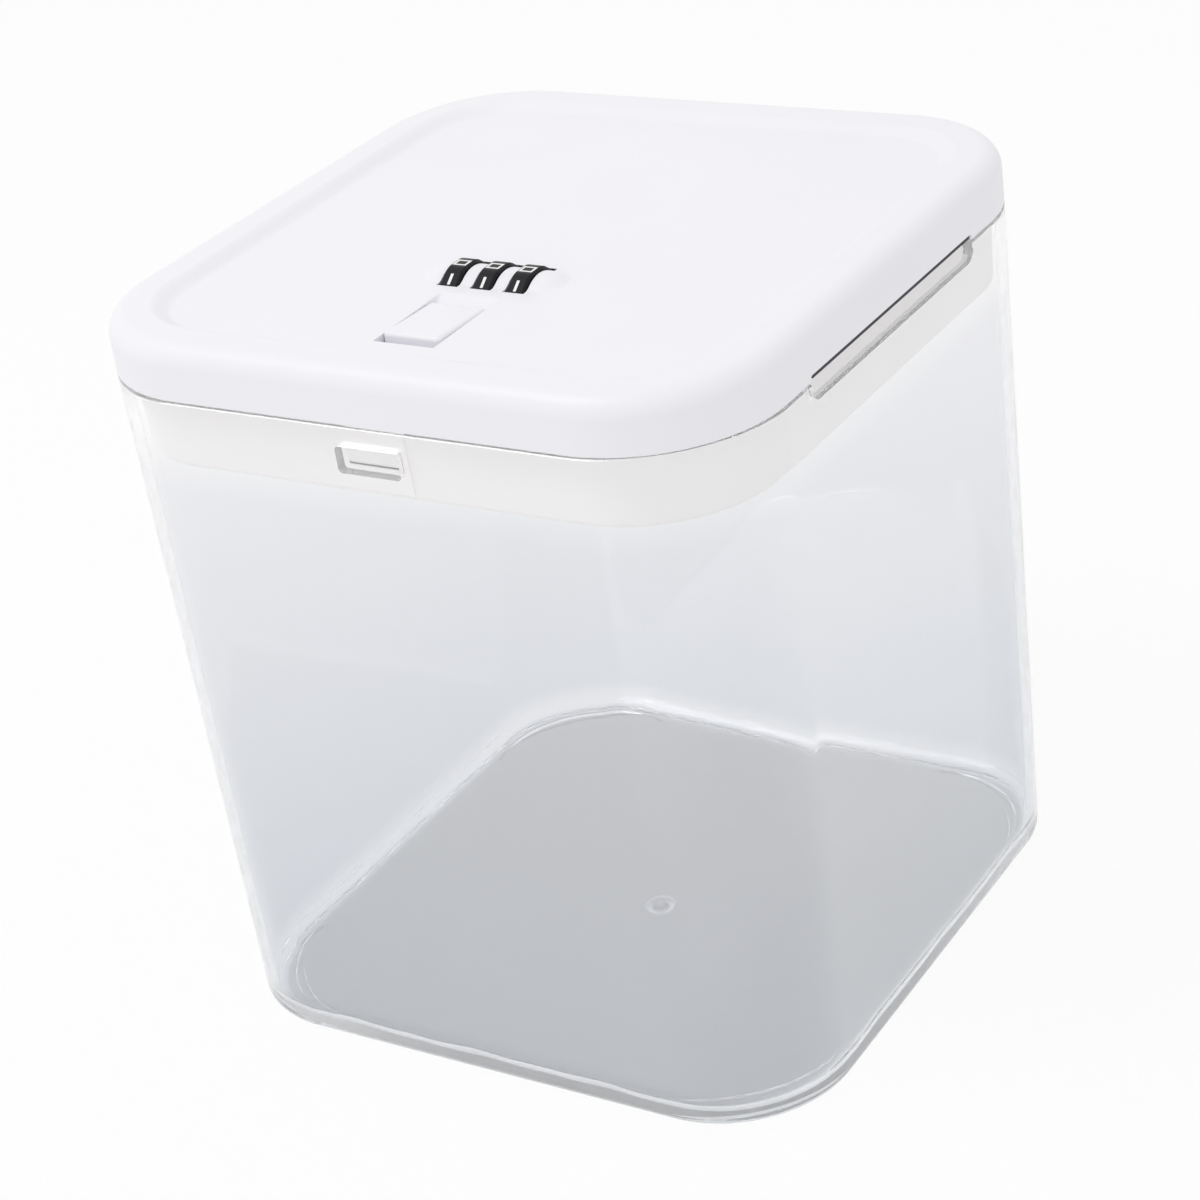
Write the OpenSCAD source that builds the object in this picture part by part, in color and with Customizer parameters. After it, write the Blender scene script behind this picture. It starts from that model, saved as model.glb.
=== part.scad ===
// Combination lock box: a clear tapered container and a white lid with a three-dial lock.
// Millimetres. Origin at the middle of the base, +Z up, the latch side faces -Y.

/* [Container] */
// Outside width across the rim
body_w = 170; // [150:1:200]
// Outside depth, front to back, across the rim
body_d = 170; // [150:1:200]
// Height of the rim above the table
rim_z = 173.5; // [140:0.5:220]
// How far each wall leans in between the rim and the base
wall_lean = 3.3; // [1:0.1:5]
// Corner radius in plan at the rim
corner_r = 34; // [30:0.5:38]
// Wall thickness
wall_t = 2.5; // [2:0.1:3]
// Floor thickness
floor_t = 3; // [2.5:0.1:4]
// Fillet between floor and walls, inside
floor_fillet = 5; // [3:0.5:8]
// Rounding of the outside bottom edge
base_round = 2.2; // [1:0.1:2.5]
// Rounding of both edges of the rim
rim_round = 0.6; // [0.3:0.1:0.9]
// Height of the crescent feet
foot_h = 0.8; // [0.6:0.1:1.5]
// Width of a foot at its middle
foot_w = 3; // [2:0.1:4]
// Distance from a foot's outer edge to the wall face above it
foot_inset = 4.7; // [4:0.1:7]
// How much wider the curve of a foot's inner edge is than its outer edge
foot_taper = 10; // [5:0.5:20]

/* [Latch windows and finger gaps] */
// Width of the windows in the front and back walls
window_w = 16.5; // [15.8:0.1:20]
// Height of the windows
window_h = 6.4; // [5.6:0.1:7]
// Corner radius of the windows
window_r = 1; // [0.5:0.1:2]
// Length of the finger gap in each side of the rim
grip_len = 80; // [50:1:90]
// Depth of the finger gap below the rim
grip_depth = 4; // [2.5:0.1:6]
// Corner radius of the finger gap
grip_r = 3; // [1:0.1:3.9]

/* [Lid] */
// Height of the lid's top above the rim
lid_rise = 13.5; // [12:0.1:17]
// Seam between the rim and the lid
lid_gap = 0.3; // [0.2:0.05:0.5]
// Thickness of the lid's side wall
lid_wall = 2.4; // [2:0.1:3]
// Rounding of the lid's top edge
lid_round = 5; // [3:0.1:6]
// Width of the flat top of the raised border, from the lid's side
border_flat = 10; // [7:0.1:12]
// Width of the slope from the border down to the panel
border_slope = 5; // [3:0.1:7]
// Depth of the panel below the border
panel_drop = 2.2; // [1:0.1:3]
// Thickness of the panel
panel_t = 2.2; // [1.8:0.1:2.6]
// Step in the lid's lower edge above each finger gap
grip_step = 0.4; // [0.3:0.1:1.5]

/* [Plug] */
// Depth of the plug below the rim
plug_depth = 18; // [16:0.1:24]
// Gap between the plug and the container wall at the rim
plug_gap = 1.1; // [0.9:0.05:1.6]
// How far the plug's wall leans in towards its bottom
plug_lean = 1; // [0.5:0.1:2]
// Wall thickness of the plug
plug_wall = 2; // [1.6:0.1:2.4]
// Thickness of the plug's bottom cover
cover_t = 2; // [1.6:0.1:2.6]
// Height of the plug's locating flange inside the lid
flange_h = 2; // [1.5:0.1:3]
// Rounding of the plug's bottom edge
plug_round = 2; // [1:0.1:3]
// Width of the raised pad in front of the bolt
pad_w = 18; // [17.5:0.1:24]
// Height of the pad above the plug's wall
pad_t = 0.5; // [0.3:0.1:0.6]

/* [Dials] */
// Distance from the front of the lid to the dial axis
dial_setback = 57.4; // [54:0.1:64]
// Radius of a dial over its ten corners
dial_r = 9.5; // [8.6:0.1:10]
// Width of a dial
dial_w = 4.9; // [4:0.1:5.4]
// Distance between neighbouring dials
dial_pitch = 8.85; // [8.4:0.05:11]
// How far a dial stands above the panel
dial_proud = 2.9; // [2:0.1:3.5]
// Depth of the flats below the dial's radius
flat_depth = 0.25; // [0.1:0.05:0.4]
// Chamfer on both edges of a dial
dial_chamfer = 0.4; // [0.2:0.05:0.8]
// Forward tilt of the flat that reads at rest, degrees
dial_turn = 3; // [0:0.5:18]
// How far the housing round the dials lies below the dial's radius
hump_step = 0.9; // [0.6:0.1:1.4]
// Width of a code sleeve's gate
gate_w = 3; // [2:0.1:3.6]
// Depth of the gate
gate_depth = 2.2; // [1:0.1:2.6]
// Radius of a code sleeve
code_r = 6.2; // [5.6:0.1:6.6]
// Radius of the dial shaft
shaft_r = 1.5; // [1.2:0.05:2]

/* [Bolt and slider] */
// Width of the bolt's tongue
tongue_w = 14.7; // [12:0.1:15.4]
// Height of the tongue
tongue_h = 4.5; // [3.5:0.1:5]
// Corner radius of the tongue
tongue_r = 1; // [0.4:0.1:1.5]
// Length of the full-height tongue
tongue_len = 9; // [7:0.1:10]
// Travel of the bolt and the slider
bolt_throw = 2.6; // [1.5:0.1:2.6]
// Gap between the drawn tongue and the container wall
tongue_gap = 0.45; // [0.4:0.05:0.8]
// Thickness of the bolt's plate
bolt_t = 2; // [1.6:0.1:2.6]
// Width of the thumb slider
slider_w = 15; // [12:0.1:18]
// Length of the thumb slider
slider_len = 19.3; // [17:0.1:20]
// Distance from the front of the lid to the slider's front end
slider_setback = 22.4; // [21:0.1:24]
// Height of the slider's front end above the panel
slider_lift = 0.9; // [0:0.1:1.8]
// Depth of the slider's track below the panel
track_depth = 3.4; // [3:0.1:4]
// Length of the ramp behind the track
ramp_len = 4.6; // [3:0.1:5]

/* [Reset button] */
// Radius of the button
button_r = 3; // [2:0.1:3.5]
// Travel of the button
button_travel = 1.5; // [1:0.1:2]
// Distance from the dial axis back to the button
button_setback = 22; // [20:0.1:26]
// Turns of the button's spring
spring_turns = 5; // [3:1:6]
// Wire diameter of the button's spring
spring_wire = 0.6; // [0.4:0.05:0.7]

/* [Fasteners] */
// Thickness of the lock's sheet metal frame
chassis_t = 1.5; // [1.2:0.1:2]
// Thread radius of the cover screws
screw_r = 1.3; // [1:0.05:1.6]
// Thread radius of the small screws
small_r = 0.9; // [0.7:0.05:1.1]
// Distance from the outside of the lid to the cover screws
post_inset = 23; // [20:0.5:28]
// Thickness of the leaf springs
leaf_t = 0.4; // [0.3:0.05:0.5]

/* [Hidden] */

$fn = 64;
arc_steps = 6;
slope_steps = 8;
// Clearances: between moving bodies, of a shaft in a bore, of a screw in its hole
move_gap = 0.35;
run_gap = 0.05;
screw_gap = 0.03;
cut = 1;

// Plan: the straight runs end at the corner centres
plan_x = body_w / 2 - corner_r;
plan_y = body_d / 2 - corner_r;
front_y = -body_d / 2;

// Heights
floor_top = foot_h + floor_t;
lid_low = rim_z + lid_gap;
lid_top = rim_z + lid_rise;
panel_z = lid_top - panel_drop;
panel_under = panel_z - panel_t;
plug_bottom = rim_z - plug_depth;
cover_top = plug_bottom + cover_t;

// Dial stack
dial_y = front_y + dial_setback;
dial_z = panel_z + dial_proud - dial_r;
hub_len = dial_pitch - dial_w - move_gap;
sleeve_w = hub_len - 0.2;
hub_r = shaft_r + 1.5;
clip_r = shaft_r + 1.3;
hump_r = dial_r - hump_step;
cheek_left = -dial_pitch - dial_w / 2 - move_gap;
cheek_right = dial_pitch + dial_w / 2 + hub_len + move_gap;

// Lock frame and bolt
frame_floor_top = dial_z - dial_r - 0.5;
frame_floor = frame_floor_top - chassis_t;
bolt_z = frame_floor - 0.4 - bolt_t / 2;
bolt_top = bolt_z + bolt_t / 2;
bolt_under = bolt_z - bolt_t / 2;
bolt_half = tongue_w / 2;
bolt_rear_y = dial_y + 3;
tongue_tip_y = -plan_y - inner_r(bolt_z) + tongue_gap;
tongue_rear_y = tongue_tip_y + tongue_len;

// Lock frame ears
ear_drop = 5;
ear_top = panel_under - ear_drop;
ear_len = 7;
ear_half = 8;
ear_screw_y = 5;
frame_front_y = dial_y - dial_r + 0.5;
frame_rear_y = dial_y + dial_r + 5;

// Thumb slider
slider_front_y = front_y + slider_setback;
slider_rear_y = slider_front_y + slider_len;
track_floor = panel_z - track_depth;
track_under = track_floor - 1.6;
track_half = slider_w / 2 + 0.4;
track_front_y = slider_front_y - bolt_throw - 0.4;
track_rear_y = slider_rear_y + 0.4;
slider_low = track_floor + 0.25;
stem_half = 3.5;
stem_front_y = slider_front_y + 3.6;
stem_rear_y = slider_rear_y - 3.7;

// Fence comb: a web in front of the dials with one tooth for each code sleeve
comb_t = 1.5;
comb_tip_y = dial_y - code_r - move_gap;
comb_rear_y = dial_y - dial_r - 1;
comb_top = dial_z + 0.5;
tooth_w = sleeve_w - 0.8;
tooth_h = 3;

// Reset button
button_y = dial_y + button_setback;
button_flange_r = button_r + 1.4;
button_flange_t = 1.2;
button_flange_z = cover_top + 0.1;
spring_low = button_flange_z + button_flange_t;
spring_r = button_r - 0.4;

// Screws
head_r = screw_r + 1.5;
head_h = 1.2;
small_head_r = small_r + 0.8;
small_head_h = 0.8;
post_r = screw_r + 2;
post_x = body_w / 2 - post_inset;
post_y = body_d / 2 - post_inset;
boss_h = 5;
boss_low = panel_under - boss_h;
boss_pilot = boss_h - 1;
POSTS = [for (x = [-post_x, post_x]) for (y = [-post_y, 0, post_y]) [x, y]];
EARS = [for (x = [cheek_left - chassis_t - ear_len / 2, cheek_right + chassis_t + ear_len / 2])
    for (y = [dial_y - ear_screw_y, dial_y + ear_screw_y]) [x, y]];
keeper_y = tongue_rear_y + 6;
keeper_half = 3;
guide_x = bolt_half + move_gap + 3;
keeper_low = bolt_top + move_gap;
keeper_bite = 5;
SLIDER_SCREWS = [stem_front_y + 3, stem_rear_y - 3];
DETENT_SCREWS = [cheek_left + 7, cheek_right - 7];
detent_face_y = dial_y + dial_r + move_gap;
detent_foot = 4;
detent_screw_y = detent_face_y + leaf_t + detent_foot / 2;

// Colours
clear = [0.86, 0.89, 0.92, 0.35];
white = [0.95, 0.95, 0.96];
black = [0.13, 0.13, 0.15];
grey = [0.55, 0.56, 0.58];
steel = [0.75, 0.76, 0.78];

function outer_r(z) = corner_r - wall_lean * (rim_z - z) / (rim_z - foot_h);
function inner_r(z) = outer_r(z) - wall_t;
function plug_r(z) = corner_r - wall_t - plug_gap - plug_lean * (rim_z - z) / plug_depth;
function dial_x(i) = (i - 1) * dial_pitch;
function sleeve_x(i) = dial_x(i) + dial_w / 2;

// Points along an arc from angle a0 to a1
function arc(cx, cy, r, a0, a1) = [
    for (i = [0 : arc_steps])
        let (a = a0 + (a1 - a0) * i / arc_steps)
        [cx + r * cos(a), cy + r * sin(a)]
];

// Points of a soft S-shaped slope from one height to another
function slope(x0, z0, x1, z1) = [
    for (i = [0 : slope_steps])
        let (t = i / slope_steps)
        [x0 + (x1 - x0) * t, z1 + (z0 - z1) * (1 + cos(180 * t)) / 2]
];

// Carries a profile round the rounded rectangle: x is the distance out from the corner centres
module swept() {
    for (quarter = [0 : 3]) {
        half_x = quarter % 2 == 0 ? plan_x : plan_y;
        half_y = quarter % 2 == 0 ? plan_y : plan_x;
        rotate(90 * quarter) {
            translate([half_x, half_y, 0])
                rotate_extrude(angle = 90) children();
            translate([half_x, half_y, 0])
                rotate([90, 0, 0]) linear_extrude(2 * half_y) children();
        }
    }
}

// Flat plate between the corner centres, closing a swept profile
module core_plate(z, t) {
    translate([-plan_x, -plan_y, z]) cube([2 * plan_x, 2 * plan_y, t]);
}

module round_rect(w, h, r) {
    polygon(concat(
        arc(w / 2 - r, h / 2 - r, r, 0, 90),
        arc(-w / 2 + r, h / 2 - r, r, 90, 180),
        arc(-w / 2 + r, -h / 2 + r, r, 180, 270),
        arc(w / 2 - r, -h / 2 + r, r, 270, 360)
    ));
}

// A box given by its low and high corners
module block(low, high) {
    translate(low) cube(high - low);
}

// Extrudes a side view, drawn as [y, z], across the width from x0 to x1
module side_view(x0, x1) {
    translate([x0, 0, 0])
        rotate([90, 0, 90]) linear_extrude(x1 - x0) children();
}

// A screw with its head down and its thread up
module screw(r, length, head, height) {
    cylinder(r = head, h = height);
    translate([0, 0, height]) cylinder(r = r, h = length);
}

// A hole for a screw that comes up from below
module screw_hole(r, length) {
    translate([0, 0, -cut]) cylinder(r = r + screw_gap, h = length + cut);
}

// The rounded opening in the front and back walls that the tongue and the lug enter
module window_cut() {
    for (side = [0, 180])
        rotate(side)
            translate([0, front_y - cut, bolt_z])
                rotate([-90, 0, 0])
                    linear_extrude(wall_t + wall_lean + 2 * cut)
                        round_rect(window_w, window_h, window_r);
}

module finger_gap_cut() {
    for (side = [0, 180])
        rotate(side)
            translate([body_w / 2 - wall_t - wall_lean, 0, rim_z])
                rotate([90, 0, 90])
                    linear_extrude(wall_t + wall_lean + cut)
                        round_rect(grip_len, 2 * grip_depth, grip_r);
}

// One crescent foot under a corner, thick on the diagonal and pointed at its ends
module foot() {
    reach = outer_r(foot_h) - foot_inset;
    back_r = reach + foot_taper;
    rotate(45)
        linear_extrude(foot_h)
            difference() {
                circle(r = reach);
                translate([reach - foot_w - back_r, 0]) circle(r = back_r);
            }
}

module container() {
    base_r = outer_r(foot_h + base_round);
    fillet_z = floor_top + floor_fillet;
    fillet_r = inner_r(fillet_z) - floor_fillet;
    rim_out = outer_r(rim_z) - rim_round;
    rim_in = inner_r(rim_z) + rim_round;
    color(clear) {
        difference() {
            union() {
                swept()
                    polygon(concat(
                        [[0, foot_h]],
                        arc(base_r - base_round, foot_h + base_round, base_round, -90, 0),
                        arc(rim_out, rim_z - rim_round, rim_round, 0, 90),
                        arc(rim_in, rim_z - rim_round, rim_round, 90, 180),
                        arc(fillet_r, fillet_z, floor_fillet, 0, -90),
                        [[0, floor_top]]
                    ));
                core_plate(foot_h, floor_t);
            }
            window_cut();
            finger_gap_cut();
        }
        for (quarter = [0 : 3])
            rotate(90 * quarter)
                translate(quarter % 2 == 0 ? [plan_x, plan_y, 0] : [plan_y, plan_x, 0])
                    foot();
    }
}

// Side view of the thumb slider's track: a floor with a ramp rising behind it
module track_cut() {
    side_view(-track_half, track_half)
        polygon([
            [track_front_y, track_floor],
            [track_rear_y, track_floor],
            [track_rear_y, panel_z - 2.4],
            [track_rear_y + ramp_len, panel_z],
            [track_rear_y + ramp_len, panel_z + cut],
            [track_front_y, panel_z + cut]
        ]);
    block(
        [-stem_half - 0.3, stem_front_y - bolt_throw - 0.3, track_under - cut],
        [stem_half + 0.3, stem_rear_y + 0.3, track_floor + cut]
    );
}

// Raised housing with round ends over the dial shaft
module dial_hump() {
    end_x = dial_pitch + dial_w / 2 + 1.2;
    intersection() {
        translate([0, dial_y, dial_z]) {
            rotate([0, 90, 0]) cylinder(r = hump_r, h = 2 * end_x, center = true);
            for (x = [-end_x, end_x])
                translate([x, 0, 0]) rotate([0, 90, 0]) sphere(r = hump_r);
        }
        block(
            [-end_x - hump_r, dial_y - hump_r, panel_under],
            [end_x + hump_r, dial_y + hump_r, lid_top + dial_r]
        );
    }
}

module dial_slots() {
    for (i = [0 : 2])
        translate([dial_x(i), dial_y, dial_z])
            rotate([0, 90, 0])
                cylinder(r = dial_r + move_gap, h = dial_w + 2 * move_gap, center = true);
    translate([cheek_left, dial_y, dial_z])
        rotate([0, 90, 0])
            cylinder(r = code_r + move_gap, h = cheek_right - cheek_left);
}

module lid_shell() {
    border_r = corner_r - border_flat;
    crease_r = border_r - border_slope;
    side_in = corner_r - lid_wall;
    color(white)
        difference() {
            union() {
                swept()
                    polygon(concat(
                        [[corner_r, lid_low]],
                        arc(corner_r - lid_round, lid_top - lid_round, lid_round, 0, 90),
                        slope(border_r, lid_top, crease_r, panel_z),
                        [
                            [0, panel_z],
                            [0, panel_under],
                            [crease_r, panel_under],
                            [border_r, lid_top - panel_t - 0.4],
                            [side_in - 2.5, lid_top - panel_t - 0.4],
                            [side_in, lid_top - panel_t - 2.9],
                            [side_in, lid_low]
                        ]
                    ));
                core_plate(panel_under, panel_t);
                dial_hump();
                block(
                    [-track_half - 1.6, track_front_y - 1.6, track_under],
                    [track_half + 1.6, track_rear_y + 1.6, panel_under + 0.1]
                );
                for (p = POSTS)
                    translate([p.x, p.y, boss_low]) cylinder(r = post_r, h = boss_h + 0.1);
                for (p = EARS)
                    translate([p.x, p.y, ear_top])
                        cylinder(r = small_r + 1.6, h = ear_drop + 0.1);
            }
            track_cut();
            dial_slots();
            for (p = POSTS)
                translate([p.x, p.y, boss_low]) screw_hole(screw_r, boss_pilot);
            for (p = EARS)
                translate([p.x, p.y, ear_top]) screw_hole(small_r, ear_drop - 1);
            for (x = [-1, 1])
                translate([x * (body_w / 2 - lid_wall / 2), 0, lid_low])
                    cube([lid_wall + cut, grip_len, 2 * grip_step], center = true);
        }
}

module lid_plug() {
    flange_r = corner_r - lid_wall - 0.1;
    foot_r = plug_r(plug_bottom + plug_round);
    lug_tip_y = plan_y + outer_r(bolt_z) - 0.8;
    guide_h = keeper_low - cover_top;
    pad_low = plug_bottom + plug_round;
    color(white)
        difference() {
            union() {
                swept()
                    polygon(concat(
                        [[0, plug_bottom]],
                        arc(foot_r - plug_round, plug_bottom + plug_round, plug_round, -90, 0),
                        [
                            [plug_r(rim_z), rim_z],
                            [plug_r(rim_z), lid_low],
                            [flange_r, lid_low],
                            [flange_r, lid_low + flange_h],
                            [plug_r(rim_z) - plug_wall, lid_low + flange_h],
                            [plug_r(cover_top) - plug_wall, cover_top],
                            [0, cover_top]
                        ]
                    ));
                core_plate(plug_bottom, cover_t);
                // Lug that hooks into the rear window
                block(
                    [-bolt_half, plan_y + plug_r(bolt_z) - plug_wall, bolt_z - tongue_h / 2],
                    [bolt_half, lug_tip_y, bolt_z + tongue_h / 2]
                );
                // Pad round the tongue
                side_view(-pad_w / 2, pad_w / 2)
                    polygon([
                        [-plan_y - plug_r(rim_z) + plug_wall, lid_low],
                        [-plan_y - plug_r(rim_z) - pad_t, lid_low],
                        [-plan_y - plug_r(pad_low) - pad_t, pad_low],
                        [-plan_y - plug_r(pad_low) + plug_wall, pad_low]
                    ]);
                // Rails that carry the bolt, and posts for its keeper
                for (x = [-1, 1]) {
                    translate([x * (bolt_half - 2) - 1, tongue_rear_y, cover_top - 0.1])
                        cube([2, bolt_rear_y - tongue_rear_y, bolt_under - 0.15 - cover_top + 0.1]);
                    translate([x * guide_x, keeper_y, cover_top - 0.1])
                        cylinder(r = keeper_half, h = guide_h + 0.1);
                }
                for (p = POSTS)
                    translate([p.x, p.y, cover_top - 0.1])
                        cylinder(r = post_r, h = boss_low - cover_top + 0.1);
            }
            // Slot for the tongue
            block(
                [-bolt_half - 0.3, -plan_y - corner_r, bolt_z - tongue_h / 2 - 0.3],
                [bolt_half + 0.3, -plan_y - plug_r(plug_bottom) + plug_wall + cut, bolt_z + tongue_h / 2 + 0.3]
            );
            for (p = POSTS)
                translate([p.x, p.y, plug_bottom]) {
                    screw_hole(head_r + 0.1, head_h);
                    screw_hole(screw_r, boss_low - plug_bottom + cut);
                }
            for (x = [-1, 1])
                translate([x * guide_x, keeper_y, keeper_low - keeper_bite - cut])
                    cylinder(r = small_r + screw_gap, h = keeper_bite + 2 * cut);
            translate([0, button_y, plug_bottom - cut])
                cylinder(r = button_r + run_gap, h = cover_t + 2 * cut);
        }
}

module plug_screws() {
    color(steel)
        for (p = POSTS)
            translate([p.x, p.y, plug_bottom])
                screw(screw_r, boss_low + boss_pilot - plug_bottom - head_h - 0.5, head_r, head_h);
}

// Sheet metal frame hung under the panel: floor, two cheeks for the shaft, two ears
module lock_chassis() {
    left = cheek_left - chassis_t;
    right = cheek_right + chassis_t;
    color(grey)
        difference() {
            union() {
                block([left, frame_front_y, frame_floor], [right, frame_rear_y, frame_floor_top]);
                block(
                    [-button_flange_r - 1.5, frame_rear_y - 0.1, frame_floor],
                    [button_flange_r + 1.5, button_y + button_flange_r + 1.5, frame_floor_top]
                );
                // Stop for the button, inside its spring
                translate([0, button_y, spring_low + button_travel + 0.1])
                    cylinder(r = spring_r - spring_wire / 2 - 0.4, h = frame_floor - spring_low - button_travel);
                for (x = [left, cheek_right])
                    block(
                        [x, dial_y - ear_half, frame_floor],
                        [x + chassis_t, dial_y + ear_half, panel_under - 0.3]
                    );
                for (x = [left - ear_len, right - 0.1])
                    block(
                        [x, dial_y - ear_half, ear_top - chassis_t],
                        [x + ear_len + 0.1, dial_y + ear_half, ear_top]
                    );
            }
            translate([left - cut, dial_y, dial_z])
                rotate([0, 90, 0]) cylinder(r = shaft_r + screw_gap, h = right - left + 2 * cut);
            // Room in the ears for the shaft's ends and clips
            for (x = [left - ear_len - cut, right])
                translate([x, dial_y, dial_z])
                    rotate([0, 90, 0]) cylinder(r = clip_r + move_gap, h = ear_len + cut);
            for (p = EARS)
                translate([p.x, p.y, ear_top - chassis_t]) screw_hole(small_r, chassis_t + cut);
            for (x = DETENT_SCREWS)
                translate([x, detent_screw_y, frame_floor]) screw_hole(small_r, chassis_t + cut);
        }
}

module chassis_screws() {
    color(steel)
        for (p = EARS)
            translate([p.x, p.y, ear_top - chassis_t - small_head_h])
                screw(small_r, chassis_t + ear_drop - 1.5, small_head_r, small_head_h);
}

module dial_shaft() {
    overhang = 1.6;
    color(steel)
        translate([cheek_left - chassis_t - overhang, dial_y, dial_z])
            rotate([0, 90, 0])
                cylinder(r = shaft_r, h = cheek_right - cheek_left + 2 * (chassis_t + overhang));
}

// Spring clips that keep the shaft between the cheeks
module shaft_clips() {
    clip_t = 0.6;
    color(steel)
        for (x = [cheek_left - chassis_t - clip_t, cheek_right + chassis_t])
            translate([x, dial_y, dial_z])
                rotate([0, 90, 0])
                    difference() {
                        cylinder(r = clip_r, h = clip_t);
                        translate([0, 0, -cut]) cylinder(r = shaft_r + screw_gap, h = clip_t + 2 * cut);
                    }
}

// A ten-sided dial with chamfered edges, and a hub that carries its code sleeve
module dial(i) {
    flat_r = (dial_r - flat_depth) / cos(18);
    color(black)
        translate([dial_x(i), dial_y, dial_z])
            rotate([dial_turn, 0, 0])
                rotate([0, 90, 0])
                    difference() {
                        union() {
                            intersection() {
                                rotate_extrude()
                                    polygon([
                                        [0, -dial_w / 2],
                                        [dial_r - dial_chamfer, -dial_w / 2],
                                        [dial_r, -dial_w / 2 + dial_chamfer],
                                        [dial_r, dial_w / 2 - dial_chamfer],
                                        [dial_r - dial_chamfer, dial_w / 2],
                                        [0, dial_w / 2]
                                    ]);
                                rotate(18)
                                    cylinder(r = flat_r, h = dial_w + 2 * cut, center = true, $fn = 10);
                            }
                            cylinder(r = hub_r, h = dial_w / 2 + hub_len);
                        }
                        translate([0, 0, -dial_w / 2 - cut])
                            cylinder(r = shaft_r + run_gap, h = dial_w + hub_len + 2 * cut);
                    }
}

module dial_left() {
    dial(0);
}

module dial_middle() {
    dial(1);
}

module dial_right() {
    dial(2);
}

// A ring on the dial's hub, with the gate that the fence would enter at the right number
module code_sleeve(i) {
    color(grey)
        difference() {
            translate([sleeve_x(i), dial_y, dial_z])
                rotate([0, 90, 0])
                    difference() {
                        cylinder(r = code_r, h = sleeve_w);
                        translate([0, 0, -cut]) cylinder(r = hub_r + screw_gap, h = sleeve_w + 2 * cut);
                    }
            block(
                [sleeve_x(i) - cut, dial_y - code_r - cut, dial_z - gate_w / 2],
                [sleeve_x(i) + sleeve_w + cut, dial_y - code_r + gate_depth, dial_z + gate_w / 2]
            );
        }
}

module code_sleeve_left() {
    code_sleeve(0);
}

module code_sleeve_middle() {
    code_sleeve(1);
}

module code_sleeve_right() {
    code_sleeve(2);
}

// A leaf with one finger behind each dial
module detent_spring() {
    finger_w = dial_w - 1.4;
    color(steel)
        difference() {
            union() {
                block(
                    [cheek_left + 1, detent_face_y, frame_floor_top],
                    [cheek_right - 1, detent_face_y + leaf_t + detent_foot, frame_floor_top + leaf_t]
                );
                for (i = [0 : 2])
                    block(
                        [dial_x(i) - finger_w / 2, detent_face_y, frame_floor_top],
                        [dial_x(i) + finger_w / 2, detent_face_y + leaf_t, dial_z + 1]
                    );
            }
            for (x = DETENT_SCREWS)
                translate([x, detent_screw_y, frame_floor_top]) screw_hole(small_r, leaf_t + cut);
        }
}

module detent_screws() {
    color(steel)
        for (x = DETENT_SCREWS)
            translate([x, detent_screw_y, frame_floor_top + leaf_t + small_head_h])
                rotate([180, 0, 0])
                    screw(small_r, leaf_t + chassis_t, small_head_r, small_head_h);
}

// The tongue with a sloped nose and the plate that joins it to the slider
module lock_bolt() {
    nose = 0.8;
    color(white)
        difference() {
            union() {
                intersection() {
                    side_view(-bolt_half, bolt_half)
                        polygon([
                            [tongue_tip_y, bolt_z - tongue_h / 2 + nose],
                            [tongue_tip_y + nose, bolt_z - tongue_h / 2],
                            [tongue_rear_y, bolt_z - tongue_h / 2],
                            [tongue_rear_y, bolt_z + tongue_h / 2],
                            [tongue_tip_y + nose, bolt_z + tongue_h / 2],
                            [tongue_tip_y, bolt_z + tongue_h / 2 - nose]
                        ]);
                    translate([0, tongue_tip_y - cut, bolt_z])
                        rotate([-90, 0, 0])
                            linear_extrude(tongue_len + 2 * cut) round_rect(tongue_w, tongue_h, tongue_r);
                }
                block([-bolt_half, tongue_rear_y - 0.1, bolt_under], [bolt_half, bolt_rear_y, bolt_top]);
            }
            for (y = SLIDER_SCREWS)
                translate([0, y, bolt_under]) screw_hole(small_r, bolt_t + cut);
        }
}

// A stamped comb on the bolt: one tooth reaches towards each code sleeve
module fence_comb() {
    web_front_y = comb_rear_y - comb_t;
    first_x = sleeve_x(0) + sleeve_w / 2 - tooth_w / 2;
    last_x = sleeve_x(2) + sleeve_w / 2 + tooth_w / 2;
    color(steel) {
        block([first_x, web_front_y, comb_top - tooth_h], [last_x, comb_rear_y, comb_top]);
        block([-bolt_half + 1, web_front_y, bolt_top], [bolt_half - 1, comb_rear_y, comb_top]);
        for (i = [0 : 2])
            block(
                [sleeve_x(i) + sleeve_w / 2 - tooth_w / 2, comb_rear_y - 0.1, comb_top - tooth_h],
                [sleeve_x(i) + sleeve_w / 2 + tooth_w / 2, comb_tip_y, comb_top]
            );
    }
}

// A bridge over the bolt, screwed to two posts of the plug
module bolt_keeper() {
    color(grey)
        difference() {
            block(
                [-guide_x - keeper_half, keeper_y - keeper_half, keeper_low],
                [guide_x + keeper_half, keeper_y + keeper_half, keeper_low + chassis_t]
            );
            for (x = [-1, 1])
                translate([x * guide_x, keeper_y, keeper_low]) screw_hole(small_r, chassis_t + cut);
        }
}

module keeper_screws() {
    color(steel)
        for (x = [-1, 1])
            translate([x * guide_x, keeper_y, keeper_low + chassis_t + small_head_h])
                rotate([180, 0, 0])
                    screw(small_r, chassis_t + keeper_bite, small_head_r, small_head_h);
}

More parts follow.
